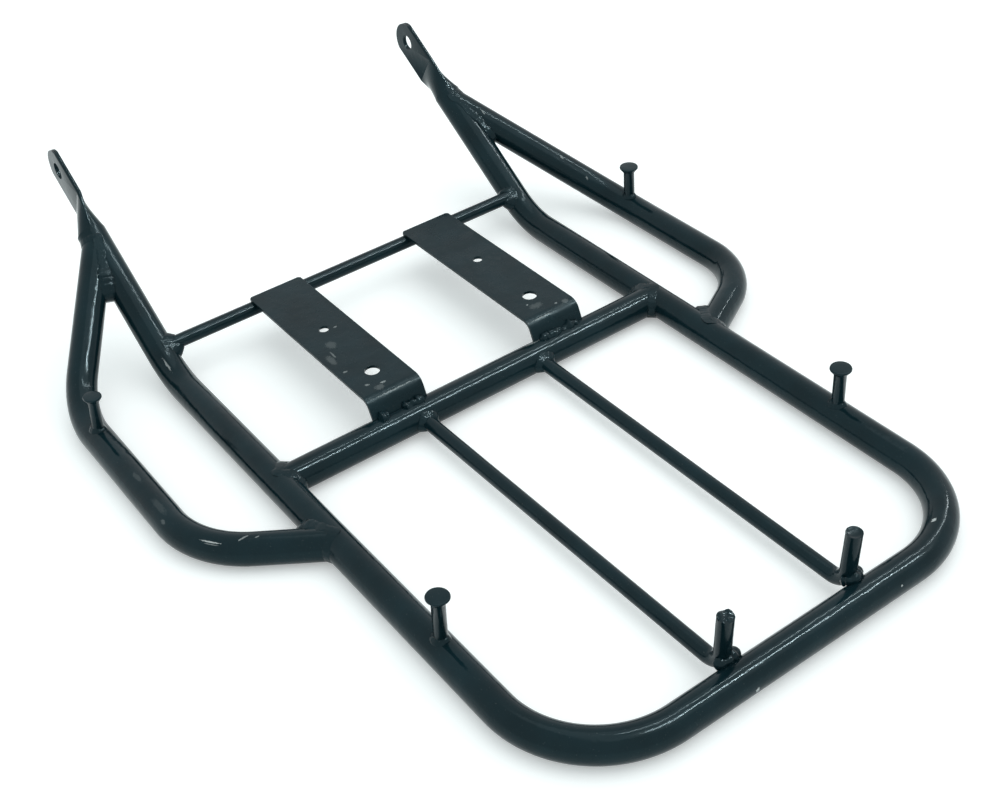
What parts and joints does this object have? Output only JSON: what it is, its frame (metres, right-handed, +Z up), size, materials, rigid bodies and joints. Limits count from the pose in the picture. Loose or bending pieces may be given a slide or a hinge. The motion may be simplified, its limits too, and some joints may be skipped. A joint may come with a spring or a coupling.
{
  "type": "motorcycle luggage rack",
  "caption": "Welded tubular steel rear luggage rack in gloss black: looped deck frame with rising lugged arms, side loops, folded mounting plates and tie-down pegs.",
  "frame": {"origin": "centre of the rack's footprint, on the plane that its tubes lie on", "axes": "+Y forward towards the lugs, +X to the rider's right, +Z up"},
  "size_m": [0.425, 0.562, 0.1153],
  "materials": {
    "tube_paint": "gloss black paint with a faint blue-green cast",
    "rod_paint": "gloss black paint",
    "plate_paint": "gloss black paint, scuffed to bare metal around the holes and bends",
    "peg_paint": "gloss black paint",
    "weld_paint": "gloss black paint over rippled weld"
  },
  "bodies": {
    "root": {"rear_tube": "tube_paint", "left_rail_tube": "tube_paint", "right_rail_tube": "tube_paint", "left_lug": "tube_paint", "right_lug": "tube_paint", "left_side_tube": "tube_paint", "right_side_tube": "tube_paint", "cross_tube": "tube_paint", "front_cross_rod": "rod_paint", "left_inner_rod": "rod_paint", "right_inner_rod": "rod_paint", "left_mounting_plate": "plate_paint", "right_mounting_plate": "plate_paint", "left_rail_peg": "peg_paint", "right_rail_peg": "peg_paint", "left_side_peg": "peg_paint", "right_side_peg": "peg_paint", "left_side_tube_upper_weld": "weld_paint", "left_side_tube_lower_weld": "weld_paint", "left_cross_tube_weld": "weld_paint", "left_front_rod_weld": "weld_paint", "left_inner_rod_weld": "weld_paint", "left_post_weld": "weld_paint", "left_plate_front_weld": "weld_paint", "left_rail_peg_weld": "weld_paint", "left_side_peg_weld": "weld_paint", "right_side_tube_upper_weld": "weld_paint", "right_side_tube_lower_weld": "weld_paint", "right_cross_tube_weld": "weld_paint", "right_front_rod_weld": "weld_paint", "right_inner_rod_weld": "weld_paint", "right_post_weld": "weld_paint", "right_plate_front_weld": "weld_paint", "right_rail_peg_weld": "weld_paint", "right_side_peg_weld": "weld_paint", "left_plate_outer_weld": "weld_paint", "left_plate_inner_weld": "weld_paint", "right_plate_rear_weld": "weld_paint"}
  },
  "joints": []
}
